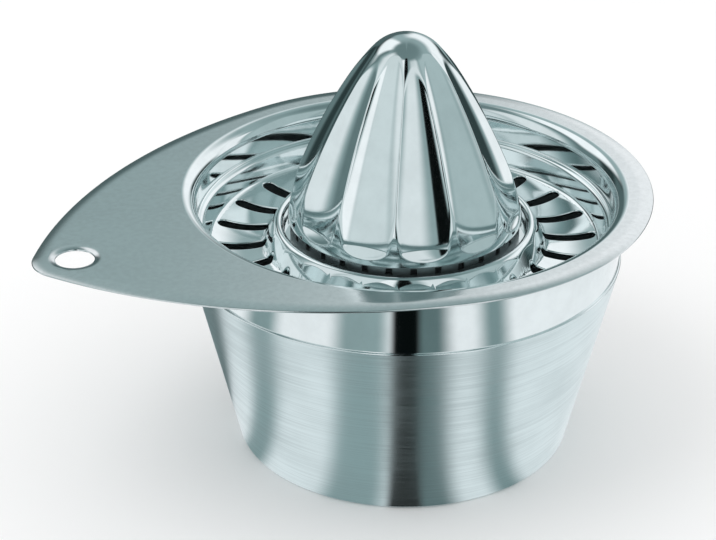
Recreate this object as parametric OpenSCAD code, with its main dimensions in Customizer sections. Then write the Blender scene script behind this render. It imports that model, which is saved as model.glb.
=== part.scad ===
// Citrus juicer: a steel bowl with a lift-off press top.
// The press top is a strainer plate with a handle, a ring of drain windows and a fluted cone.
// Origin: middle of the bowl's base. +Z is up, the handle points along -X, and lengths are millimetres.

/* [Bowl] */
// Radius at which the line of the side meets the table
base_r = 44.6; // [40:0.2:50]
// Rounding between the base and the side
base_edge_r = 2; // [1.5:0.25:4]
// Height of the shoulder between the brushed side and the polished collar
shoulder_z = 53.6; // [40:0.2:70]
// Outer radius of the collar
collar_r = 57; // [54:0.5:61]
// Height of the collar from the shoulder to the rim
collar_h = 15.4; // [10:0.2:24]
// How far the side stands out past the collar at the shoulder
ledge_w = 0.6; // [0.2:0.1:1]
// Sheet thickness of the bowl
bowl_sheet = 0.7; // [0.5:0.1:1]

/* [Fit] */
// Gap all round between the bowl and the wall of the well
fit_gap = 0.3; // [0.2:0.05:0.6]
// Gap between the bowl's rim and the rolled edge that sits on it
seat_gap = 0.3; // [0.1:0.05:0.5]

/* [Strainer plate] */
// Sheet thickness of the strainer plate
plate_sheet = 1; // [0.8:0.05:1.2]
// Width of the flat rim past the rolled edge
rim_w = 6.4; // [3:0.2:14]
// Reach of the handle's tip from the axis
handle_reach = 103.2; // [94:0.2:130]
// Radius of the handle's tip
tip_r = 9; // [7:0.5:14]
// Radius of the handle's two long sides
handle_side_r = 138; // [110:1:200]
// Radius of the hang hole
hang_r = 4.9; // [3:0.1:6]
// Steel left between the hang hole and the handle's tip
hang_edge = 6; // [3:0.2:12]
// Radius of the rolled edge between the flat rim and the well
roll_r = 3.8; // [2.5:0.1:5]
// Depth of the gutter's lowest line below the flat rim
well_depth = 16.4; // [13:0.1:20]
// Radius of the gutter's bottom, seen in section
gutter_r = 28; // [16:1:40]
// Rounding between the gutter's bottom and its two sides
gutter_edge_r = 1.5; // [1:0.1:3]
// Lean of the gutter's outer side from upright
outer_lean = 12; // [5:1:20]
// Lean of the gutter's inner side from upright
inner_lean = 26; // [8:1:30]
// Height of the step above the gutter's lowest line
step_h = 7.3; // [5:0.1:9]
// Flat width of the step at the foot of the well's wall
step_w = 0.2; // [0.1:0.1:1]
// Rounding of the step's edge above the gutter
step_edge_r = 1.3; // [1.3:0.1:2]
// Rounding at the foot of the well's wall
foot_r = 0.5; // [0.3:0.1:2]
// Height of the crest above the gutter's lowest line
crest_h = 7; // [5:0.1:8]
// Rounding of the crest
crest_r = 1.3; // [1.3:0.1:2]
// Width of the moat between the drain ring and the crest
moat_w = 1.8; // [1:0.1:4]
// Depth of the moat's floor below the crest
moat_depth = 3.8; // [3:0.1:5]
// Floor left inside the drain ring
floor_lip = 0.5; // [0.3:0.1:1.5]

/* [Strainer slots] */
// Number of slots in the gutter
slot_count = 24; // [12:1:30]
// Width of a slot
slot_w = 3.6; // [2:0.1:4.5]
// Length of a slot
slot_l = 14.6; // [8:0.2:15.4]
// Distance of a slot from the crest's outer side, seen from above
slot_margin = 1.7; // [1:0.1:3]

/* [Drain ring] */
// Outer radius of the drain ring
ring_r = 30.4; // [27:0.2:32]
// Sheet thickness of the drain ring
ring_sheet = 1; // [0.6:0.1:1.2]
// Height of the drain ring
ring_h = 5.2; // [4:0.1:8]
// Number of drain windows
window_count = 30; // [12:1:36]
// Width of a window
window_w = 1.7; // [1:0.1:2.5]
// Height of a window
window_h = 1.8; // [1:0.1:2.5]
// Steel left above the windows
window_drop = 0.6; // [0.4:0.1:1.5]
// Angle of the first window from +X
window_turn = 7.5; // [0:0.5:12]

/* [Reamer cone] */
// How far the cone's edge stands out past the drain ring
cone_overhang = 0.6; // [0.3:0.1:0.9]
// Height of the cone from its edge to its tip
cone_h = 51.2; // [46:0.2:60]
// Radius of the cone's bulging side, seen in section
flank_r = 92; // [80:1:140]
// Radius of the rounded tip
nose_r = 11.7; // [9:0.1:14]
// Sheet thickness of the cone
cone_sheet = 1; // [0.6:0.1:1.2]
// Number of pairs of flutes, each a tall one and a short one
flute_pairs = 6; // [4:1:6]
// Radius of a flute's hollow at its foot
flute_low_r = 31; // [24:1:40]
// Radius of a flute's hollow at its point
flute_top_r = 8; // [5:0.5:14]
// Depth of a flute's foot, measured from the cone's edge
flute_depth = 2; // [1.6:0.05:2.6]
// How much larger the radius of a flute's floor line is than that of the cone's side
flute_floor_r = 66; // [8:1:90]
// Height of a flute's foot above the cone's edge
flute_foot = 4; // [3.8:0.1:9]
// Rounding of a flute's lower end
flute_end_r = 3.7; // [3:0.1:4]
// Distance of a tall flute's point below the cone's tip
tall_flute_drop = 3; // [2:0.2:12]
// Distance of a short flute's point below the cone's tip
short_flute_drop = 5.8; // [3:0.2:18]
// Angle of the first short flute from +X
flute_turn = 13; // [0:1:60]

/* [Hidden] */
$fn = 96;

// Length by which cutting shapes run past what they cut
through = 2;
// Steps along a small bend and along a long curve
bend_steps = 6;
curve_steps = 12;
// Steps along a flute's floor line and round its lower end
flute_steps = 5;
// Turn by which a flute's cutter runs on past the flute's point
flute_runout = 6;

// Bowl
rim_z = shoulder_z + collar_h;
bowl_bore_r = collar_r - bowl_sheet;
side_r = collar_r + ledge_w;
side_slant = atan((side_r - base_r) / shoulder_z);
base_edge_turn = 90 - side_slant;
base_edge_x = base_r - base_edge_r * tan(base_edge_turn / 2);

// Strainer plate, from the rim inwards; radii and heights are those of its upper face
well_r = bowl_bore_r - fit_gap - plate_sheet;
flat_r = well_r + roll_r;
rim_r = flat_r + rim_w;
roll_under_r = roll_r - plate_sheet;
roll_z = rim_z + seat_gap - sqrt(pow(roll_under_r, 2) - pow(flat_r - bowl_bore_r, 2));
plate_z = roll_z + roll_r;
gutter_low_z = plate_z - well_depth;
step_z = gutter_low_z + step_h;
foot_c = [well_r - foot_r, step_z + foot_r];
step_c = [foot_c[0] - step_w, step_z - step_edge_r];
moat_r = ring_r + moat_w;
crest_z = gutter_low_z + crest_h;
crest_c = [moat_r + crest_r, crest_z - crest_r];
crest_out_r = crest_c[0] + crest_r;
gutter_c = [(crest_out_r + step_c[0] - step_edge_r) / 2, gutter_low_z + gutter_r];
outer_edge_c = gutter_edge_c(step_c, step_edge_r, outer_lean, 1);
outer_edge_turn = turn_of(outer_edge_c - gutter_c);
inner_edge_c = gutter_edge_c(crest_c, crest_r, inner_lean, -1);
inner_edge_turn = turn_of(inner_edge_c - gutter_c);
floor_z = crest_z - moat_depth;
floor_r = ring_r - ring_sheet - floor_lip;
slot_in_r = crest_out_r + slot_margin;

// Handle outline: two circles held between two wide arcs
tip_x = handle_reach - tip_r;
side_c = meet([0, 0], handle_side_r - rim_r, [-tip_x, 0], handle_side_r - tip_r);
side_rim_x = -side_c[0] * rim_r / norm(side_c);
side_tip_x = -tip_x - (tip_x + side_c[0]) * tip_r / (handle_side_r - tip_r);
hang_x = handle_reach - hang_edge - hang_r;

// Cone: a side arc that runs into a round nose
cone_z = floor_z + ring_h;
cone_r = ring_r + cone_overhang;
nose_z = cone_z + cone_h - nose_r;
flank_c = meet([0, nose_z], flank_r - nose_r, [cone_r, cone_z], flank_r);
nose_turn = atan2(nose_z - flank_c[1], -flank_c[0]);
nose_low_z = nose_z + nose_r * sin(nose_turn);
flute_pitch = 180 / flute_pairs;
flute_low = [cone_r - flute_depth, cone_z + flute_foot];
flute_line_r = flank_r + flute_floor_r;

// Other side of a right-angled triangle
function leg(long_side, side) = sqrt(long_side * long_side - side * side);

// Point at distance ra from a and rb from b, on the right of the way from a to b
function meet(a, ra, b, rb) =
    let (d = norm(b - a), u = (b - a) / d, s = (ra * ra - rb * rb + d * d) / (2 * d), h = leg(ra, s))
    a + s * u + h * [u[1], -u[0]];

function turn_of(way) = atan2(way[1], way[0]);

// Unit vector to the right of a way
function right_of(way) = [way[1], -way[0]] / norm(way);

// A point seen from an axis: its distance to the left of the axis, and its way along it
function about(start, axis, point) =
    [-right_of(axis) * (point - start), axis * (point - start) / norm(axis)];

// Centre of the rounding between the gutter's bottom and a side; the side leans down from a round top,
// and faces inwards where facing is 1, outwards where it is -1
function gutter_edge_c(top_c, top_r, lean, facing) =
    let (
        out = [-facing * cos(lean), sin(lean)],
        down = [-facing * sin(lean), -cos(lean)],
        off = out * (top_c - gutter_c) + top_r + gutter_edge_r
    )
    gutter_c + off * out + leg(gutter_r - gutter_edge_r, off) * down;

// Radius of the plain cone's outer side at a height
function side_at(z) = z < nose_low_z ? flank_c[0] + leg(flank_r, z - flank_c[1]) : leg(nose_r, z - nose_z);

// Points of an arc, leaving out the first ones where another arc ends there
function arc(c, r, from, to, steps, skip = 0) =
    [for (i = [skip : steps]) let (turn = from + (to - from) * i / steps) c + r * [cos(turn), sin(turn)]];

function reversed(points) = [for (i = [len(points) - 1 : -1 : 0]) points[i]];

// One face of the bowl's sheet, from the middle of the base to the rim; 0 is the outside
function bowl_face(inset) =
    let (line_w = inset / cos(side_slant), low_z = shoulder_z - inset)
    concat(
        [[0, inset]],
        arc([base_edge_x, base_edge_r], base_edge_r - inset, -90, base_edge_turn - 90, bend_steps),
        [[side_r - line_w - inset * tan(side_slant), low_z]],
        [[collar_r - inset, low_z], [collar_r - inset, rim_z]]
    );

// One face of the well's sheet, from the flat inwards; 0 is the upper face
function well_face(inset) =
    concat(
        arc([flat_r, roll_z], roll_r - inset, 90, 180, bend_steps),
        arc(foot_c, foot_r + inset, 0, -90, bend_steps),
        arc(step_c, step_edge_r - inset, 90, 180 - outer_lean, bend_steps),
        arc(outer_edge_c, gutter_edge_r + inset, -outer_lean, outer_edge_turn, bend_steps),
        arc(gutter_c, gutter_r + inset, outer_edge_turn, inner_edge_turn, curve_steps, 1),
        arc(inner_edge_c, gutter_edge_r + inset, inner_edge_turn, inner_lean - 180, bend_steps, 1),
        arc(crest_c, crest_r - inset, inner_lean, 180, 2 * bend_steps),
        [[moat_r + inset, floor_z - inset], [floor_r, floor_z - inset]]
    );

module bowl() {
    color("silver")
        rotate_extrude()
            polygon(concat(bowl_face(0), reversed(bowl_face(bowl_sheet))));
}

// Rectangle by its lowest and highest corners
module block(low, high) {
    translate(low)
        square(high - low);
}

module plate_outline() {
    circle(rim_r);
    translate([-tip_x, 0])
        circle(tip_r);
    intersection() {
        translate(side_c)
            circle(handle_side_r);
        translate([side_c[0], -side_c[1]])
            circle(handle_side_r);
        block([side_tip_x, -rim_r], [side_rim_x, rim_r]);
    }
}

module slot_outline() {
    end_r = slot_w / 2;
    translate([slot_in_r + end_r, 0])
        circle(end_r);
    translate([slot_in_r + slot_l - end_r, 0])
        circle(end_r);
    block([slot_in_r + end_r, -end_r], [slot_in_r + slot_l - end_r, end_r]);
}

// Flat rim and handle; one sheet with the well, which starts where the flat ends
module handle_plate() {
    color("gainsboro")
        translate([0, 0, plate_z - plate_sheet])
            linear_extrude(plate_sheet)
                difference() {
                    plate_outline();
                    circle(flat_r);
                    translate([-hang_x, 0])
                        circle(hang_r);
                }
}

module strainer_well() {
    color("lightgray")
        difference() {
            rotate_extrude()
                polygon(concat(well_face(0), reversed(well_face(plate_sheet))));
            for (i = [0 : slot_count - 1])
                rotate((i + 0.5) * 360 / slot_count)
                    translate([0, 0, gutter_low_z - plate_sheet - through])
                        linear_extrude(well_depth)
                            slot_outline();
        }
}

module drain_ring() {
    window_z = cone_z - window_drop - window_h;
    color("lightslategray")
        difference() {
            translate([0, 0, floor_z])
                linear_extrude(ring_h)
                    difference() {
                        circle(ring_r);
                        circle(ring_r - ring_sheet);
                    }
            for (i = [0 : window_count - 1])
                rotate(window_turn + i * 360 / window_count)
                    translate([ring_r - ring_sheet - through, -window_w / 2, window_z])
                        cube([ring_sheet + 2 * through, window_w, window_h]);
        }
}

// Solid bullet, drawn in by a distance all over and run on below the cone's edge
module bullet(inset, below) {
    side_arc_r = flank_r - inset;
    low_turn = asin((cone_z - below - flank_c[1]) / side_arc_r);
    rotate_extrude()
        polygon(concat(
            [[0, cone_z - below]],
            arc(flank_c, side_arc_r, low_turn, nose_turn, curve_steps),
            arc([0, nose_z], nose_r - inset, nose_turn, 90, bend_steps, 1)
        ));
}

// Shape that hollows one flute up to a drop below the tip, swollen all over: a round body that
// tapers to its top, drawn about its own axis; x runs from that axis towards the cone, y along it
module flute_cutter(drop, swell) {
    point_z = cone_z + cone_h - drop;
    point = [side_at(point_z), point_z];
    floor_c = meet(point, flute_line_r, flute_low, flute_line_r);
    off = right_of(point - flute_low);
    axis_low = flute_low + flute_low_r * off;
    axis = point + flute_top_r * off - axis_low;
    low = about(axis_low, axis, flute_low);
    centre = about(axis_low, axis, floor_c);
    low_turn = turn_of(centre - low) + 180;
    top_turn = turn_of(centre - about(axis_low, axis, point)) + 180 - flute_runout;
    end_c = low + flute_end_r * [cos(low_turn), sin(low_turn)];
    end_arc = arc(end_c, flute_end_r + swell, -90, low_turn - 180, flute_steps);
    floor_arc = arc(centre, flute_line_r - swell, low_turn, top_turn, flute_steps, 1);
    translate([axis_low[0], 0, axis_low[1]])
        rotate([0, 90 - turn_of(axis), 0])
            rotate_extrude()
                polygon(concat(
                    [[0, end_arc[0][1]]],
                    end_arc,
                    floor_arc,
                    [[0, floor_arc[flute_steps - 1][1]]]
                ));
}

// Bullet with its first flutes cut, one after another; short and tall flutes take turns
module fluted_bullet(inset, below, flutes = 2 * flute_pairs) {
    if (flutes == 0)
        bullet(inset, below);
    else
        difference() {
            fluted_bullet(inset, below, flutes - 1);
            rotate(flute_turn + flutes * flute_pitch)
                flute_cutter(flutes % 2 == 0 ? short_flute_drop : tall_flute_drop, inset);
        }
}

module reamer_cone() {
    color("whitesmoke")
        difference() {
            fluted_bullet(0, 0);
            fluted_bullet(cone_sheet, through);
        }
}

bowl();
handle_plate();
strainer_well();
drain_ring();
reamer_cone();
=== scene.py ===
"""Looks of a steel citrus juicer: a tapered bowl, and a press top made of plate, ring and fluted cone."""

import math
from collections import namedtuple

import bpy
import numpy as np
from mathutils import Matrix
from mathutils.geometry import tessellate_polygon


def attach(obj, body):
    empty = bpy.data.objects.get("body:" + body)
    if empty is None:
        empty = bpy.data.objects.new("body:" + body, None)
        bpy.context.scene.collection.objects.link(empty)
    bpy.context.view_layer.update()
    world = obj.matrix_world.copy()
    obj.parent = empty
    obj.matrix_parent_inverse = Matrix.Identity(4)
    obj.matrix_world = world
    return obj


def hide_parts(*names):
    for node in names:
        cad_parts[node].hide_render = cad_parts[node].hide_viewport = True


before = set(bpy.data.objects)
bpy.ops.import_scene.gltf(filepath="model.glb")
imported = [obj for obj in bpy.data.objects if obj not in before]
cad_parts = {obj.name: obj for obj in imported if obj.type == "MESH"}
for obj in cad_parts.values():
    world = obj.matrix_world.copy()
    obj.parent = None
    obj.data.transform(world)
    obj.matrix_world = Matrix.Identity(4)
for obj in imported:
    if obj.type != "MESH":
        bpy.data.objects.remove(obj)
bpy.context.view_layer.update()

# The object's sizes are in millimetres, and this takes them to Blender's metres; angles are in degrees
MM = 0.001

# Bowl
BASE_R = 44.6
BASE_EDGE_R = 2.0
SHOULDER_Z = 53.6
COLLAR_R = 57.0
RIM_Z = 69.0
LEDGE_W = 0.6
LEDGE_EDGE_R = 0.25
BOWL_SHEET = 0.7

# Flat rim and handle of the strainer plate; its height is that of the upper face
PLATE_SHEET = 1.0
PLATE_Z = 71.84
RIM_R = 65.2
HANDLE_REACH = 103.2
TIP_R = 9.0
HANDLE_SIDE_R = 138.0
HANG_R = 4.9
HANG_X = -92.3
EDGE_R = 0.3
# How far the drooping edges keep inside the sheet's plan
EDGE_KEEP = 0.03
RIM_DROOP_W = 4.0
HANG_DROOP_W = 2.2

# Well of the strainer plate, from the flat inwards; radii and heights are those of the upper face
ROLL_R = 3.8
WELL_R = 55.0
FOOT_R = 0.5
STEP_W = 0.2
STEP_EDGE_R = 1.3
STEP_Z = 62.74
GUTTER_R = 28.0
GUTTER_LOW_Z = 55.44
GUTTER_EDGE_R = 1.5
OUTER_LEAN = 12.0
INNER_LEAN = 26.0
CREST_OUT_R = 34.8
CREST_R = 1.3
CREST_Z = 62.44
MOAT_FILLET_R = 0.5
FLOOR_Z = 58.64
FLOOR_R = 28.9

# Slots in the gutter; the keeps are how far the slotted sectors reach past a slot's ends
SLOT_COUNT = 24
SLOT_W = 3.6
SLOT_IN_R = 36.5
SLOT_OUT_R = 51.1
SLOT_EDGE_R = 0.35
SLOT_IN_KEEP = 2.1
SLOT_OUT_KEEP = 1.15

# Drain ring
RING_R = 30.4
RING_SHEET = 1.0
RING_H = 5.2
WINDOW_COUNT = 30
WINDOW_W = 1.7
WINDOW_H = 1.8
WINDOW_DROP = 0.6
WINDOW_TURN = 7.5

# Reamer cone without its flutes
CONE_R = 31.0
CONE_Z = FLOOR_Z + RING_H
CONE_H = 51.18
CONE_SHEET = 1.0
FLANK_R = 92.0
NOSE_R = 11.7

# Flutes, short and tall in turn
FLUTE_PAIRS = 6
# Radius across a flute at its foot and at its point
FLUTE_LOW_R = 31.0
FLUTE_TOP_R = 8.0
# Radius of the line along a flute's floor, and how far inside the cone's edge that line starts
FLUTE_FLOOR_R = 158.0
FLUTE_DEPTH = 2.0
# Height of the foot over the cone's edge, and radius of the flute's end below it
FLUTE_FOOT = 4.0
FLUTE_END_R = 3.7
# Heights of the points over the cone's edge, and the turn of the first short flute
TALL_FLUTE_H = 48.2
SHORT_FLUTE_H = 45.4
FLUTE_TURN = 13.0
# Difference in depth within which ridges are rounded
RIDGE_ROUND = 0.2
# Depth to start from where there is no flute, well outside the cone
NO_FLUTE_DEPTH = -2.0

# Fineness of the meshes, in steps
SECTOR_STEPS = 16
TURN_STEPS = SLOT_COUNT * SECTOR_STEPS
BEND_STEPS = 8
GUTTER_STEPS = 48
RIM_STEPS = 240
HANDLE_SIDE_STEPS = 64
TIP_STEPS = 48
HANG_STEPS = 72
SLOT_TOP_STEPS = 6
SLOT_UNDER_STEPS = 3
SLOT_BEND_STEPS = 5
WINDOW_STEPS = 2
PILLAR_STEPS = 8
FLUTE_STEPS = 56
CONE_OUTER_STEPS = 240
CONE_INNER_STEPS = 96
FLUTE_FLOOR_STEPS = 400
# The cone's nose has this share of the steps of its flank
NOSE_STEP_SHARE = 0.25
# Power that crowds the upper rows round a slot towards its edge
SLOT_CROWDING = 1.5
# Points are welded where place and facing round to the same steps: this long, in metres, for a place
WELD_STEP = 1e-7
# This many to one for a facing
WELD_FACING_STEPS = 50

# Grains of the steel, in waves per metre along X, Y and Z
ROUND_GRAIN = (30.0, 30.0, 3200.0)
FINE_GRAIN = (700.0, 700.0, 700.0)
WAVY_GRAIN = (110.0, 110.0, 110.0)
GRAIN_DETAIL = 3.0
GRAIN_ROUGHNESS = 0.6
# Clouds of wear on all steel, in waves per metre
CLOUD_SCALE = 45.0
CLOUD_DETAIL = 4.0
CLOUD_ROUGHNESS = 0.55
# Grain's share in the mottle, which clouds make up to one, and the stretch of the mottle that shows
GRAIN_SHARE = 0.6
MOTTLE_LOW = 0.35
MOTTLE_HIGH = 0.65
# How far wholly uneven steel departs from its tint and its roughness at the ends of that stretch
DULL_LOSS = 0.25
BRIGHT_GAIN = 0.05
ROUGH_GAIN = 0.35
SMOOTH_LOSS = 0.3
# Turn of the stretched shine on brushed steel, as a share of a full turn
STRETCH_TURN = 0.25

# Tints of the steel
MIRROR_TINT = (0.76, 0.83, 0.835)
SATIN_TINT = (0.70, 0.745, 0.75)
BRUSHED_TINT = (0.66, 0.765, 0.775)
RING_TINT = (0.50, 0.54, 0.55)
DRAWN_TINT = (0.40, 0.43, 0.44)

# Place of the flat's finish among the strainer plate's finishes, of which the well has the first
FLAT_FINISH = 1

# Camera of the photograph, fitted to the circles of its base, shoulder and rim; lengths are in metres
PHOTO_W_PX = 716
FOCAL_PX = 2556
SENSOR_MM = 36
CAMERA_REACH = 0.708
CAMERA_TURN = -27.1
CAMERA_RISE = 31.26
LOOK_DOWN = 27.914
LOOK_SIDE = 1.035
LOOK_ROLL = 0.599
CLIP_START = 0.01

# Floor and lamp; lengths are in metres, and the lamp's turn is from the camera's
WHITE = (1.0, 1.0, 1.0, 1.0)
FLOOR_COLOUR = (0.94, 0.94, 0.94, 1.0)
FLOOR_ROUGHNESS = 0.9
FLOOR_HALF = 4.0
LAMP_SIZE = 0.6
LAMP_POWER = 1.6
LAMP_TURN = -60.0
LAMP_REACH = 0.5
LAMP_RISE = 1.0
LAMP_TILT = 25.0

# Panels that the steel mirrors, all in degrees but for the brightness, later ones over earlier ones
# Azimuth is zero towards the camera and grows to the camera's right
Panel = namedtuple("Panel", "azimuth half_width rise half_height softness brightness")
PANELS = (
    # Overhead
    Panel(0.0, 180.0, 88.0, 28.0, 20.0, 0.25),
    # Upright, from the back on the left, round the front, to the right
    Panel(-145.0, 20.0, 0.0, 26.0, 10.0, 0.05),
    Panel(-116.0, 12.0, 15.0, 40.0, 12.0, 0.22),
    Panel(-79.0, 16.0, 20.0, 45.0, 14.0, 0.90),
    Panel(-40.0, 20.0, 20.0, 45.0, 10.0, 0.80),
    Panel(-15.0, 6.0, 15.0, 50.0, 4.0, 1.10),
    Panel(0.0, 6.8, 15.0, 55.0, 2.0, 0.003),
    Panel(32.0, 15.0, 15.0, 45.0, 14.0, 0.90),
    Panel(76.0, 22.0, 15.0, 40.0, 8.0, 0.56),
    Panel(111.0, 9.0, 5.0, 30.0, 6.0, 1.05),
    # High at the back
    Panel(-138.0, 22.0, 42.0, 17.0, 12.0, 1.15),
    Panel(-175.0, 14.0, 38.0, 12.0, 12.0, 0.48),
    Panel(148.0, 31.0, 24.0, 15.0, 16.0, 1.1),
    # Low at the back
    Panel(142.0, 16.0, -8.0, 18.0, 10.0, 0.06),
    Panel(-165.0, 18.0, -6.0, 26.0, 8.0, 0.14),
)
# Brightness between the panels
SKY_BRIGHTNESS = 0.42

# Bands of a card on the floor that the steel mirrors, by azimuth as the panels are
Band = namedtuple("Band", "azimuth half_width softness brightness")
CARD_BANDS = (
    Band(-155.0, 14.0, 16.0, 0.10),
    Band(-120.0, 14.0, 20.0, 0.25),
    Band(-103.0, 7.0, 8.0, 0.14),
    Band(-66.0, 8.0, 10.0, 0.36),
    Band(-18.0, 11.0, 10.0, 0.40),
    Band(11.0, 8.0, 10.0, 0.20),
    Band(1.0, 6.0, 4.0, 0.004),
    Band(40.0, 6.0, 10.0, 0.32),
)
# Brightness between the bands, and the card's half width and height over the floor in metres
CARD_BRIGHTNESS = 1.0
CARD_HALF = 0.2
CARD_RISE = 0.0002

# Panels and bands lean to blue-green: red's share in a black one, growing to one in white, and blue's share
DARK_RED = 0.60
BLUE = 1.02


def unit(vectors):
    return vectors / np.linalg.norm(vectors, axis=-1, keepdims=True)


def full_turn(steps):
    """Angles of even steps once round, in radians."""
    return np.arange(steps) * 2 * math.pi / steps


def turn_of(x, y):
    """Angle of a flat vector from the first axis."""
    return math.degrees(math.atan2(y, x))


def arc(centre, radius, start, end, steps, hollow=False):
    """Rows of place and facing along an arc in a plane; a hollow arc faces its centre."""
    turn = np.radians(np.linspace(start, end, steps + 1))
    ray = np.stack([np.cos(turn), np.sin(turn)], axis=1)
    return np.hstack([np.array(centre) + radius * ray, -ray if hollow else ray])


def meet(a, ra, b, rb):
    """Point at distance ra from a and rb from b, on the right of the way from a to b."""
    a, b = np.array(a, float), np.array(b, float)
    gap = np.linalg.norm(b - a)
    along = (b - a) / gap
    s = (ra * ra - rb * rb + gap * gap) / (2 * gap)
    return a + s * along + math.sqrt(ra * ra - s * s) * np.array([along[1], -along[0]])


def other_face(face, sheet):
    """The far face of a sheet, run back the other way."""
    far = np.hstack([face[:, :2] - sheet * face[:, 2:], -face[:, 2:]])
    return far[::-1]


def spun(section, turn):
    """Places and facings in space of section rows at angles about the Z axis."""
    r, z, facing_r, facing_z, turn = np.broadcast_arrays(*np.moveaxis(section, -1, 0), turn)
    points = np.stack([r * np.cos(turn), r * np.sin(turn), z], axis=-1)
    facings = np.stack([facing_r * np.cos(turn), facing_r * np.sin(turn), facing_z], axis=-1)
    return points, facings


def wound_faces(points, facings, patches, patch_finishes):
    """Faces as lists without repeated corners, wound to agree with the facings, and each one's finish."""
    faces, finishes = [], []
    for patch, finish in zip(patches, patch_finishes):
        corners = points[patch]
        across = np.cross(corners[:, 2] - corners[:, 0], corners[:, -1] - corners[:, 1])
        agree = np.einsum("ij,ij->i", across, facings[patch].sum(axis=1)) > 0
        for face, right in zip(patch.tolist(), agree.tolist()):
            ring = list(dict.fromkeys(face))
            if len(ring) > 2:
                faces.append(ring if right else ring[::-1])
                finishes.append(finish)
    return faces, finishes


def add_object(name, data):
    made = bpy.data.objects.new(name, data)
    bpy.context.scene.collection.objects.link(made)
    return made


class Surface:
    """Gathers patches of points, facings and faces, and welds them into one smooth mesh object."""

    def __init__(self):
        self.points = []
        self.facings = []
        self.faces = []
        self.finishes = []
        self.count = 0

    def add(self, points, facings, faces, finish=0):
        self.points.append(points.reshape(-1, 3))
        self.facings.append(unit(facings.reshape(-1, 3)))
        self.faces.append(np.asarray(faces) + self.count)
        self.finishes.append(finish)
        self.count += len(self.points[-1])

    def grid(self, points, facings, finish=0, closed=False, skip=None):
        """Quads over rows and columns of points; a closed grid joins its last column to its first."""
        rows, columns = points.shape[:2]
        index = np.arange(rows * columns).reshape(rows, columns)
        if closed:
            index = np.hstack([index, index[:, :1]])
        quads = np.stack([index[:-1, :-1], index[:-1, 1:], index[1:, 1:], index[1:, :-1]], axis=-1)
        if skip is None:
            skip = np.zeros(quads.shape[:2], bool)
        self.add(points, facings, quads[~skip], finish)

    def turned(self, section, finish=0):
        """A section of radius, height and facing, turned about the Z axis."""
        self.grid(*spun(section[:, None, :], full_turn(TURN_STEPS)[None, :]), finish, closed=True)

    def welded(self):
        """Points in metres, facings, faces and finishes, with points joined that share place and facing."""
        points = np.vstack(self.points) * MM
        facings = np.vstack(self.facings)
        key = np.round(np.hstack([points / WELD_STEP, facings * WELD_FACING_STEPS])).astype(np.int64)
        _, first, place = np.unique(key, axis=0, return_index=True, return_inverse=True)
        place = place.ravel()
        points, facings = points[first], facings[first]
        faces, finishes = wound_faces(points, facings, [place[f] for f in self.faces], self.finishes)
        return points, facings, faces, finishes

    def object(self, name, body, nodes, materials):
        points, facings, faces, finishes = self.welded()
        mesh = bpy.data.meshes.new(name)
        mesh.from_pydata(points.tolist(), [], faces)
        mesh.shade_smooth()
        mesh.normals_split_custom_set_from_vertices(facings.tolist())
        for material in materials:
            mesh.materials.append(material)
        mesh.polygons.foreach_set("material_index", finishes)
        made = add_object(name, mesh)
        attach(made, body)
        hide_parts(*nodes)
        return made


def bowl_sections():
    """The bowl's sheet in section: base and side outside, collar with the lip, and inside."""
    side_r = COLLAR_R + LEDGE_W
    slant = math.degrees(math.atan((side_r - BASE_R) / SHOULDER_Z))
    base_edge_r = BASE_R - BASE_EDGE_R * math.tan(math.radians((90 - slant) / 2))
    ledge_edge_r = side_r - LEDGE_EDGE_R * math.tan(math.radians((90 + slant) / 2))
    neck_centre = (COLLAR_R + LEDGE_EDGE_R, SHOULDER_Z + LEDGE_EDGE_R)
    lip_r = BOWL_SHEET / 2
    base_edge = arc((base_edge_r, BASE_EDGE_R), BASE_EDGE_R, -90, -slant, BEND_STEPS)
    base = np.vstack([[[0, 0, 0, -1]], base_edge])
    ledge = arc((ledge_edge_r, SHOULDER_Z - LEDGE_EDGE_R), LEDGE_EDGE_R, -slant, 90, BEND_STEPS)
    neck = arc(neck_centre, LEDGE_EDGE_R, 270, 180, BEND_STEPS, hollow=True)
    lip = arc((COLLAR_R - lip_r, RIM_Z - lip_r), lip_r, 0, 180, 2 * BEND_STEPS)
    outside = np.vstack([base, ledge[:1]])
    collar = np.vstack([ledge, neck, lip])
    inside = np.vstack([lip[-1:], other_face(np.vstack([base, ledge, neck]), BOWL_SHEET)])
    return outside, collar, inside


def bowl(materials):
    surface = Surface()
    for finish, section in enumerate(bowl_sections()):
        surface.turned(section, finish)
    return surface.object("bowl_shell", "bowl", ["bowl"], materials)


def gutter_edge(top, top_r, gutter, facing, lean):
    """Centre of the rounding between the gutter's bottom and a side that leans down from a round top."""
    lean = math.radians(lean)
    out = np.array([-facing * math.cos(lean), math.sin(lean)])
    down = np.array([-facing * math.sin(lean), -math.cos(lean)])
    off = out @ (np.array(top) - gutter) + top_r + GUTTER_EDGE_R
    return gutter + off * out + math.sqrt((GUTTER_R - GUTTER_EDGE_R) ** 2 - off ** 2) * down


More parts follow.
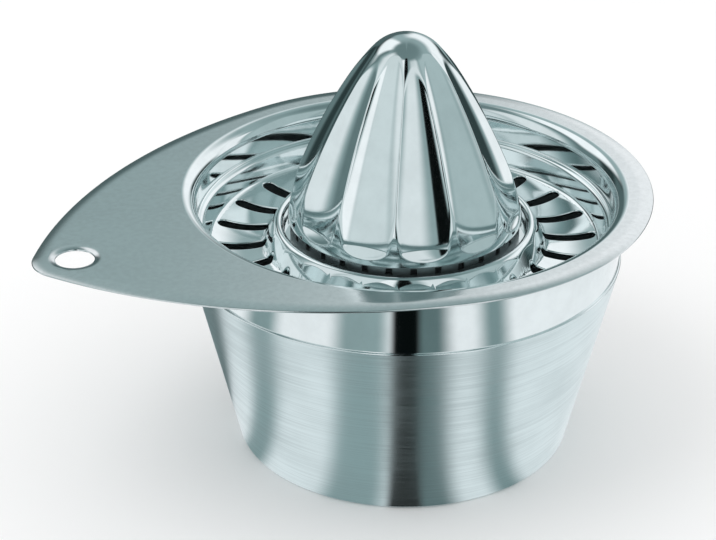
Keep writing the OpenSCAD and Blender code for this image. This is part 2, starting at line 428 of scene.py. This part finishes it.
def well_section():
    """Upper face of the strainer plate from the flat inwards to the opening under the cone."""
    foot = (WELL_R - FOOT_R, STEP_Z + FOOT_R)
    step = (foot[0] - STEP_W, STEP_Z - STEP_EDGE_R)
    crest = (CREST_OUT_R - CREST_R, CREST_Z - CREST_R)
    gutter = np.array([(CREST_OUT_R + step[0] - STEP_EDGE_R) / 2, GUTTER_LOW_Z + GUTTER_R])
    outer_edge = gutter_edge(step, STEP_EDGE_R, gutter, 1, OUTER_LEAN)
    inner_edge = gutter_edge(crest, CREST_R, gutter, -1, INNER_LEAN)
    outer_turn = turn_of(*(outer_edge - gutter))
    inner_turn = turn_of(*(inner_edge - gutter))
    moat = (crest[0] - CREST_R - MOAT_FILLET_R, FLOOR_Z + MOAT_FILLET_R)
    opening = (FLOOR_R + EDGE_R, FLOOR_Z - EDGE_R)
    return np.vstack([
        arc((WELL_R + ROLL_R, PLATE_Z - ROLL_R), ROLL_R, 90, 180, 2 * BEND_STEPS),
        arc(foot, FOOT_R, 0, -90, BEND_STEPS, hollow=True),
        arc(step, STEP_EDGE_R, 90, 180 - OUTER_LEAN, BEND_STEPS),
        arc(outer_edge, GUTTER_EDGE_R, -OUTER_LEAN, outer_turn, BEND_STEPS, hollow=True),
        arc(gutter, GUTTER_R, outer_turn, inner_turn, GUTTER_STEPS, hollow=True)[1:],
        arc(inner_edge, GUTTER_EDGE_R, inner_turn, INNER_LEAN - 180, BEND_STEPS, hollow=True)[1:],
        arc(crest, CREST_R, INNER_LEAN, 180, 2 * BEND_STEPS),
        arc(moat, MOAT_FILLET_R, 0, -90, BEND_STEPS, hollow=True),
        arc(opening, EDGE_R, 90, 180, BEND_STEPS),
    ])


def droop_section(width):
    """Edge of the flat sheet, as distance past the edge and height: it droops, then rounds under."""
    rise = PLATE_SHEET - 2 * EDGE_R
    run = width - EDGE_R
    turn = 2 * math.degrees(math.atan(rise / run))
    radius = run / math.sin(math.radians(turn)) + EDGE_R
    return np.vstack([
        arc((-width - EDGE_KEEP, PLATE_Z - radius), radius, 90, 90 - turn, BEND_STEPS),
        arc((-EDGE_R - EDGE_KEEP, PLATE_Z - PLATE_SHEET + EDGE_R), EDGE_R, 90 - turn, -90, BEND_STEPS),
    ])


def handle_outline():
    """Plan of the plate's rim and handle, anticlockwise, with the way the edge faces."""
    tip = (TIP_R - HANDLE_REACH, 0)
    side = meet((0, 0), HANDLE_SIDE_R - RIM_R, tip, HANDLE_SIDE_R - TIP_R)
    rim_turn = turn_of(-side[0], side[1])
    tip_turn = turn_of(tip[0] - side[0], side[1])
    return np.vstack([
        arc((0, 0), RIM_R, -rim_turn, rim_turn, RIM_STEPS)[:-1],
        arc((side[0], -side[1]), HANDLE_SIDE_R, rim_turn, tip_turn, HANDLE_SIDE_STEPS)[:-1],
        arc(tip, TIP_R, tip_turn, 360 - tip_turn, TIP_STEPS)[:-1],
        arc(side, HANDLE_SIDE_R, -tip_turn, -rim_turn, HANDLE_SIDE_STEPS)[:-1],
    ])


def swept_edge(surface, plan, edge, finish):
    """An edge section carried round a closed plan; returns its first and last rows of points."""
    place, facing = plan[None, :, :2], plan[None, :, 2:]
    past, height, facing_out, facing_up = np.split(edge[:, None, :], 4, axis=2)
    each = np.ones((1, len(plan), 1))
    points = np.concatenate([place + past * facing, height * each], axis=2)
    facings = np.concatenate([facing_out * facing, facing_up * each], axis=2)
    surface.grid(points, facings, finish, closed=True)
    return points[0], points[-1]


def fill_flat(surface, loops, facing_z, finish):
    """A flat face between an outer loop and the loops of its holes."""
    points = np.vstack(loops)
    faces = tessellate_polygon([loop.tolist() for loop in loops])
    surface.add(points, np.tile([0.0, 0.0, facing_z], (len(points), 1)), faces, finish)


def sector_border(outer_r, inner_r):
    """Plan of one slot's sector, anticlockwise from the outer end of its first side."""
    half = math.pi / SLOT_COUNT
    sweep = np.linspace(-half, half, SECTOR_STEPS + 1)
    reach = np.linspace(outer_r, inner_r, 2 * SECTOR_STEPS + 1)
    return np.vstack([
        outer_r * np.stack([np.cos(sweep), np.sin(sweep)], 1)[:-1],
        np.outer(reach, [math.cos(half), math.sin(half)])[:-1],
        inner_r * np.stack([np.cos(sweep), np.sin(sweep)], 1)[:0:-1],
        np.outer(reach[::-1], [math.cos(half), -math.sin(half)])[:-1],
    ])


def slot_wall():
    """Plan of one slot's wall, anticlockwise from its outer end, with the way into the sheet."""
    end_r = SLOT_W / 2
    outer_end = arc((SLOT_OUT_R - end_r, 0), end_r, -90, 90, SECTOR_STEPS)
    inner_end = arc((SLOT_IN_R + end_r, 0), end_r, 90, 270, SECTOR_STEPS)
    share = np.linspace(0, 1, 2 * SECTOR_STEPS + 1)[:-1, None]
    return np.vstack([
        outer_end[:-1],
        outer_end[-1] * (1 - share) + inner_end[0] * share,
        inner_end[:-1],
        inner_end[-1] * (1 - share) + outer_end[0] * share,
    ])


def slot_face(face, wall, shares, way):
    """Rows of points and facings on one face of a sector, from its border over the edge into the slot."""
    by_radius = face[np.argsort(face[:, 0])]
    border = sector_border(face[0, 0], face[-1, 0])
    edge, into_sheet = wall[:, :2], wall[:, 2:]
    brink = edge + SLOT_EDGE_R * into_sheet
    strip = [(brink * (1 - share) + border * share, 0.0) for share in shares]
    for bend in np.radians(np.linspace(0, 90, SLOT_BEND_STEPS + 1))[1:]:
        strip.append((edge + SLOT_EDGE_R * (1 - math.sin(bend)) * into_sheet, bend))
    rows = []
    for plan, bend in strip:
        r = np.hypot(plan[:, 0], plan[:, 1])
        z, facing_r, facing_z = [np.interp(r, by_radius[:, 0], by_radius[:, i])[:, None] for i in (1, 2, 3)]
        z = z - way * SLOT_EDGE_R * (1 - math.cos(bend))
        facing = np.hstack([facing_r * plan / r[:, None], facing_z]) * math.cos(bend)
        facing[:, :2] -= math.sin(bend) * into_sheet
        rows.append((np.hstack([plan, z]), facing))
    return rows


def slot_sector(surface, upper, lower, turn):
    """One sector of the slotted gutter, with the slot's rounded wall through the sheet."""
    wall = slot_wall()
    top_shares = np.linspace(1, 0, SLOT_TOP_STEPS + 1) ** SLOT_CROWDING
    under_shares = np.linspace(1, 0, SLOT_UNDER_STEPS + 1)
    rows = slot_face(upper, wall, top_shares, 1) + slot_face(lower, wall, under_shares, -1)[::-1]
    points, facings = [np.array(column) for column in zip(*rows)]
    spin = np.array(Matrix.Rotation(turn, 3, "Z")).T
    surface.grid(points @ spin, facings @ spin, closed=True)


def turned_past_slots(surface, section, slotted):
    """Turns what lies before and after the slotted rows of a section, and returns those rows."""
    rows = np.flatnonzero(slotted)
    surface.turned(section[: rows[0] + 1])
    surface.turned(section[rows[-1]:])
    return section[rows]


def strainer_plate(materials):
    surface = Surface()
    well = well_section()
    slotted = (well[:, 0] < SLOT_OUT_R + SLOT_OUT_KEEP) & (well[:, 0] > SLOT_IN_R - SLOT_IN_KEEP)
    upper = turned_past_slots(surface, well, slotted)
    lower = turned_past_slots(surface, other_face(well, PLATE_SHEET), slotted[::-1])[::-1]
    for i in range(SLOT_COUNT):
        slot_sector(surface, upper, lower, (i + 0.5) * 2 * math.pi / SLOT_COUNT)
    rim_top, rim_low = swept_edge(surface, handle_outline(), droop_section(RIM_DROOP_W), FLAT_FINISH)
    hang = arc((HANG_X, 0), HANG_R, 0, 360, HANG_STEPS, hollow=True)[:-1]
    hang_top, hang_low = swept_edge(surface, hang, droop_section(HANG_DROOP_W), FLAT_FINISH)
    turn = full_turn(TURN_STEPS)
    ring = np.stack([np.cos(turn), np.sin(turn), np.zeros(TURN_STEPS)], 1) * (WELL_R + ROLL_R)
    fill_flat(surface, [rim_top, ring + [0, 0, PLATE_Z], hang_top], 1.0, FLAT_FINISH)
    fill_flat(surface, [rim_low, ring + [0, 0, PLATE_Z - PLATE_SHEET], hang_low], -1.0, FLAT_FINISH)
    nodes = ["handle_plate", "strainer_well"]
    return surface.object("plate", "press_top", nodes, materials)


def ring_window(surface, middle, half, low, high, inner_r):
    """The four walls of one window through the drain ring."""
    for turn, way in ((middle - half, 1.0), (middle + half, -1.0)):
        wall = np.array([[[r, z, 0, 0] for r in (inner_r, RING_R)] for z in (low, high)], float)
        points, _ = spun(wall, np.full((2, 2), turn))
        surface.grid(points, np.tile([-way * math.sin(turn), way * math.cos(turn), 0], (2, 2, 1)))
    across = np.linspace(middle - half, middle + half, WINDOW_STEPS + 1)
    for z, way in ((low, 1.0), (high, -1.0)):
        wall = np.array([[r, z, 0, way] for r in (inner_r, RING_R)])
        surface.grid(*spun(wall[:, None, :], across[None, :]))


def drain_ring(materials):
    surface = Surface()
    inner_r = RING_R - RING_SHEET
    window_top = RING_H - WINDOW_DROP
    heights = FLOOR_Z + np.array([0, window_top - WINDOW_H, window_top, RING_H])
    pitch = 2 * math.pi / WINDOW_COUNT
    half = WINDOW_W / 2 / RING_R
    window = np.linspace(-half, half, WINDOW_STEPS + 1)
    pillar = np.linspace(half, pitch - half, PILLAR_STEPS + 1)[1:-1]
    steps = np.concatenate([window, pillar])
    middles = math.radians(WINDOW_TURN) + np.arange(WINDOW_COUNT) * pitch
    turn = (middles[:, None] + steps[None, :]).ravel()
    open_cell = np.zeros((len(heights) - 1, len(turn)), bool)
    open_cell[1] = np.tile(np.arange(len(steps)) < WINDOW_STEPS, WINDOW_COUNT)
    for r, way in ((RING_R, 1.0), (inner_r, -1.0)):
        wall = np.array([[r, z, way, 0.0] for z in heights])
        points, facings = spun(wall[:, None, :], turn[None, :])
        surface.grid(points, facings, closed=True, skip=open_cell)
    for z, way in ((heights[0], -1.0), (heights[-1], 1.0)):
        surface.turned(np.array([[RING_R, z, 0, way], [inner_r, z, 0, way]]))
    for middle in middles:
        ring_window(surface, middle, half, heights[1], heights[2], inner_r)
    return surface.object("drain_ring_wall", "press_top", ["drain_ring"], materials)


def bullet_section(steps):
    """Plain side of the cone, from its edge to its tip."""
    nose_z = CONE_Z + CONE_H - NOSE_R
    flank = meet((0, nose_z), FLANK_R - NOSE_R, (CONE_R, CONE_Z), FLANK_R)
    low_turn = turn_of(CONE_R - flank[0], CONE_Z - flank[1])
    nose_turn = turn_of(-flank[0], nose_z - flank[1])
    return np.vstack([
        arc(flank, FLANK_R, low_turn, nose_turn, steps),
        arc((0, nose_z), NOSE_R, nose_turn, 90, int(steps * NOSE_STEP_SHARE))[1:],
    ])


def flute_floor(z, side_r, height):
    """Radius of a flute's deepest line at heights; past the flute's ends it lies outside the cone."""
    low = np.array([CONE_R - FLUTE_DEPTH, CONE_Z + FLUTE_FOOT])
    point_z = CONE_Z + height
    point = np.array([np.interp(point_z, z, side_r), point_z])
    centre = meet(point, FLUTE_FLOOR_R, low, FLUTE_FLOOR_R)
    floor = centre[0] + np.sqrt(FLUTE_FLOOR_R ** 2 - (z - centre[1]) ** 2)
    fall = np.clip(low[1] - z, 0, FLUTE_END_R)
    lean = (low[1] - centre[1]) / (low[0] - centre[0])
    foot = low[0] + lean * fall + FLUTE_END_R - np.sqrt(FLUTE_END_R ** 2 - fall ** 2)
    return np.where(z < low[1], foot, floor)


def soft_max(a, b, reach):
    """The larger of two depths, with the crossing rounded where they differ by less than a reach."""
    return np.maximum(a, b) + np.clip(reach - np.abs(a - b), 0, None) ** 2 / (4 * reach)


def fluted(section, turn, inset):
    """Radii and heights of a fluted face; the section is the plain face, drawn in by the inset."""
    plain = bullet_section(FLUTE_FLOOR_STEPS)
    r, z = section[:, 0][:, None], section[:, 1][:, None]
    depth = np.full((len(section), len(turn)), NO_FLUTE_DEPTH)
    pitch = math.pi / FLUTE_PAIRS
    for height, first in ((SHORT_FLUTE_H, 0.0), (TALL_FLUTE_H, pitch)):
        floor_line = flute_floor(plain[:, 1], plain[:, 0], height)
        floor = np.interp(z, plain[:, 1], floor_line) - inset
        share = (z - CONE_Z - FLUTE_FOOT) / (height - FLUTE_FOOT)
        swell_r = FLUTE_LOW_R + (FLUTE_TOP_R - FLUTE_LOW_R) * np.clip(share, 0, 1) + inset
        centre_r = floor + swell_r
        off = (turn[None, :] - math.radians(FLUTE_TURN) - first + pitch) % (2 * pitch) - pitch
        reach = np.clip(swell_r ** 2 - (centre_r * np.sin(off)) ** 2, 0, None)
        depth = soft_max(depth, r - centre_r * np.cos(off) + np.sqrt(reach), RIDGE_ROUND)
    return r - soft_max(depth, 0.0, RIDGE_ROUND), z


def grid_facings(points):
    """Facings of a closed grid of points, from its own slopes."""
    across = np.roll(points, -1, axis=1) - np.roll(points, 1, axis=1)
    along = np.gradient(points, axis=0)
    facings = np.cross(across, along)
    facings[-1] = [0, 0, np.sign(facings[-2, 0, 2])]
    return facings


def reamer_cone(materials):
    surface = Surface()
    turn = full_turn(2 * FLUTE_PAIRS * FLUTE_STEPS)
    outer = bullet_section(CONE_OUTER_STEPS)
    inner = other_face(bullet_section(CONE_INNER_STEPS), CONE_SHEET)
    inner = inner[inner[:, 1] >= CONE_Z]
    rims = []
    for section, inset, way in ((outer, 0.0, 1.0), (inner[::-1], CONE_SHEET, -1.0)):
        r, z = fluted(section, turn, inset)
        points = np.stack([r * np.cos(turn), r * np.sin(turn), np.broadcast_to(z, r.shape)], axis=-1)
        facings = grid_facings(points)
        facings = facings * way * np.sign(facings[0, 0] @ points[0, 0])
        surface.grid(points, facings, closed=True)
        rims.append(points[0])
    edge = np.array(rims)
    surface.grid(edge, np.tile([0.0, 0.0, -1.0], edge.shape[:2] + (1,)), closed=True)
    return surface.object("cone", "press_top", ["reamer_cone"], materials)


def feed(tree, socket, value):
    """Sets an input to a value, or links another node's output to it."""
    if isinstance(value, bpy.types.NodeSocket):
        tree.links.new(value, socket)
    else:
        socket.default_value = value


def wire(tree, kind, inputs, **settings):
    """A new node with its inputs fed; returns its first output."""
    node = tree.nodes.new(kind)
    for name, value in settings.items():
        setattr(node, name, value)
    for name, value in inputs.items():
        feed(tree, node.inputs[name], value)
    return node.outputs[0]


def calculate(tree, operation, *values):
    return wire(tree, "ShaderNodeMath", dict(enumerate(values)), operation=operation)


def ease(tree, value, low, high, to_low=0.0, to_high=1.0):
    """A value carried smoothly from one range to another, and held at its ends."""
    inputs = {"Value": value, "From Min": low, "From Max": high, "To Min": to_low, "To Max": to_high}
    return wire(tree, "ShaderNodeMapRange", inputs, interpolation_type="SMOOTHSTEP")


def blend(tree, share, first, second):
    """Colours mixed by a share."""
    mix = tree.nodes.new("ShaderNodeMix")
    mix.data_type = "RGBA"
    colours = [socket for socket in mix.inputs if socket.type == "RGBA"]
    for socket, value in zip([mix.inputs[0], *colours], (share, first, second)):
        feed(tree, socket, value)
    return [socket for socket in mix.outputs if socket.type == "RGBA"][0]


def noise(tree, place, scale, detail, roughness):
    inputs = {"Vector": place, "Scale": scale, "Detail": detail, "Roughness": roughness}
    return wire(tree, "ShaderNodeTexNoise", inputs)


def components(tree, vector):
    """The X, Y and Z of a vector."""
    split = tree.nodes.new("ShaderNodeSeparateXYZ")
    feed(tree, split.inputs[0], vector)
    return split.outputs


def new_material(name):
    material = bpy.data.materials.new(name)
    material.use_nodes = True
    return material, material.node_tree


def steel(name, tint, grain, roughness, uneven, groove, stretch=0.0):
    """Steel with a grain, cut to a groove's depth, and clouds of wear; a stretch draws out its shine."""
    material, tree = new_material(name)
    place = tree.nodes.new("ShaderNodeTexCoord").outputs["Object"]
    stretched = wire(tree, "ShaderNodeMapping", {"Vector": place, "Scale": grain})
    streaks = noise(tree, stretched, 1.0, GRAIN_DETAIL, GRAIN_ROUGHNESS)
    clouds = noise(tree, place, CLOUD_SCALE, CLOUD_DETAIL, CLOUD_ROUGHNESS)
    streak_part = calculate(tree, "MULTIPLY", streaks, GRAIN_SHARE)
    cloud_part = calculate(tree, "MULTIPLY", clouds, 1 - GRAIN_SHARE)
    mottle = calculate(tree, "ADD", streak_part, cloud_part)
    dull = [channel * (1 - DULL_LOSS * uneven) for channel in tint]
    bright = [channel * (1 + BRIGHT_GAIN * uneven) for channel in tint]
    rough, smooth = roughness * (1 + ROUGH_GAIN * uneven), roughness * (1 - SMOOTH_LOSS * uneven)
    shader = tree.nodes["Principled BSDF"].inputs
    shown = ease(tree, mottle, MOTTLE_LOW, MOTTLE_HIGH)
    feed(tree, shader["Base Color"], blend(tree, shown, (*dull, 1), (*bright, 1)))
    feed(tree, shader["Roughness"], ease(tree, mottle, MOTTLE_LOW, MOTTLE_HIGH, rough, smooth))
    bump_inputs = {"Height": streaks, "Strength": 1.0, "Distance": groove * MM}
    feed(tree, shader["Normal"], wire(tree, "ShaderNodeBump", bump_inputs))
    feed(tree, shader["Metallic"], 1)
    if stretch:
        feed(tree, shader["Anisotropic"], stretch)
        feed(tree, shader["Anisotropic Rotation"], STRETCH_TURN)
        around = wire(tree, "ShaderNodeTangent", {}, direction_type="RADIAL", axis="Z")
        feed(tree, shader["Tangent"], around)
    return material


def tone(brightness):
    """Colour of a panel or band: greys lean to blue-green, and white is nearly neutral."""
    red = DARK_RED + (1 - DARK_RED) * min(brightness, 1.0)
    return (brightness * red, brightness, brightness * BLUE, 1.0)


def azimuth_of(tree, vector):
    """Direction of a vector about the Z axis: zero towards the camera, growing to the camera's right."""
    inputs = {"Vector": vector, "Angle": math.radians(90 - CAMERA_TURN)}
    x, y, _ = components(tree, wire(tree, "ShaderNodeVectorRotate", inputs, rotation_type="Z_AXIS"))
    return calculate(tree, "DEGREES", calculate(tree, "ARCTAN2", y, x))


def within(tree, angle, middle, half, softness):
    """One near a middle angle and zero past a half width from it, with a soft edge."""
    off = calculate(tree, "WRAP", calculate(tree, "SUBTRACT", angle, middle), 180.0, -180.0)
    away = calculate(tree, "ABSOLUTE", off)
    return ease(tree, away, half - softness / 2, half + softness / 2, 1.0, 0.0)


def studio_world():
    """Plain white light and background, in which the steel mirrors panels."""
    world = bpy.data.worlds.new("studio")
    bpy.context.scene.world = world
    world.use_nodes = True
    tree = world.node_tree
    way = tree.nodes.new("ShaderNodeTexCoord").outputs["Generated"]
    azimuth = azimuth_of(tree, way)
    rise = calculate(tree, "DEGREES", calculate(tree, "ARCSINE", components(tree, way)[2]))
    seen = tone(SKY_BRIGHTNESS)
    for panel in PANELS:
        across = within(tree, azimuth, panel.azimuth, panel.half_width, panel.softness)
        upright = within(tree, rise, panel.rise, panel.half_height, panel.softness)
        share = calculate(tree, "MULTIPLY", across, upright)
        seen = blend(tree, share, seen, tone(panel.brightness))
    mirrored = tree.nodes.new("ShaderNodeLightPath").outputs["Is Glossy Ray"]
    feed(tree, tree.nodes["Background"].inputs["Color"], blend(tree, mirrored, WHITE, seen))


def stage_square(name, half, z, material):
    mesh = bpy.data.meshes.new(name)
    corners = [(-half, -half, z), (half, -half, z), (half, half, z), (-half, half, z)]
    mesh.from_pydata(corners, [], [list(range(len(corners)))])
    mesh.materials.append(material)
    sheet = add_object(name, mesh)
    return sheet


def add_floor():
    """White floor that takes the shadow; the steel mirrors the card in its place."""
    material, tree = new_material("floor_white")
    shader = tree.nodes["Principled BSDF"].inputs
    feed(tree, shader["Base Color"], FLOOR_COLOUR)
    feed(tree, shader["Roughness"], FLOOR_ROUGHNESS)
    feed(tree, shader["Specular IOR Level"], 0.0)
    floor = stage_square("floor", FLOOR_HALF, 0.0, material)
    floor.visible_glossy = False


def add_floor_card():
    """Card of soft bands on the floor, which only the steel shows."""
    material, tree = new_material("floor_card")
    tree.nodes.remove(tree.nodes["Principled BSDF"])
    azimuth = azimuth_of(tree, tree.nodes.new("ShaderNodeTexCoord").outputs["Object"])
    seen = tone(CARD_BRIGHTNESS)
    for band in CARD_BANDS:
        share = within(tree, azimuth, band.azimuth, band.half_width, band.softness)
        seen = blend(tree, share, seen, tone(band.brightness))
    glow = wire(tree, "ShaderNodeEmission", {"Color": seen, "Strength": 1.0})
    feed(tree, tree.nodes["Material Output"].inputs["Surface"], glow)
    card = stage_square("floor_card", CARD_HALF, CARD_RISE, material)
    card.visible_camera = False
    card.visible_diffuse = False
    card.visible_shadow = False


def turn_about(axis, angle):
    return Matrix.Rotation(math.radians(angle), 4, axis)


def add_lamp():
    lamp = bpy.data.lights.new("key", "AREA")
    lamp.shape = "DISK"
    lamp.size = LAMP_SIZE
    lamp.energy = LAMP_POWER
    holder = add_object("key", lamp)
    place = Matrix.Translation((0, -LAMP_REACH, LAMP_RISE))
    holder.matrix_world = turn_about("Z", CAMERA_TURN + LAMP_TURN) @ place @ turn_about("X", LAMP_TILT)
    holder.visible_glossy = False


def add_camera():
    camera = bpy.data.cameras.new("camera")
    camera.sensor_width = SENSOR_MM
    camera.lens = FOCAL_PX * SENSOR_MM / PHOTO_W_PX
    camera.clip_start = CLIP_START
    holder = add_object("camera", camera)
    rise = math.radians(CAMERA_RISE)
    place = Matrix.Translation((0, -CAMERA_REACH * math.cos(rise), CAMERA_REACH * math.sin(rise)))
    aim = turn_about("X", 90 - LOOK_DOWN) @ turn_about("Y", LOOK_SIDE) @ turn_about("Z", LOOK_ROLL)
    holder.matrix_world = turn_about("Z", CAMERA_TURN) @ place @ aim
    bpy.context.scene.camera = holder


add_camera()
mirror = steel("mirror_steel", MIRROR_TINT, WAVY_GRAIN, roughness=0.06, uneven=0.3, groove=0.002)
satin = steel("satin_steel", SATIN_TINT, FINE_GRAIN, roughness=0.14, uneven=0.25, groove=0.0015)
drawn = steel("drawn_steel", DRAWN_TINT, FINE_GRAIN, roughness=0.4, uneven=0.4, groove=0.003)
brushed = steel(
    "brushed_steel", BRUSHED_TINT, ROUND_GRAIN, roughness=0.34, uneven=0.5, groove=0.003, stretch=0.75
)
ring_satin = steel("ring_satin_steel", RING_TINT, ROUND_GRAIN, roughness=0.3, uneven=0.5, groove=0.003)
bowl([brushed, mirror, drawn])
strainer_plate([mirror, satin])
drain_ring([ring_satin])
reamer_cone([mirror])
add_floor()
add_floor_card()
add_lamp()
studio_world()
bpy.context.scene.view_settings.view_transform = "Standard"
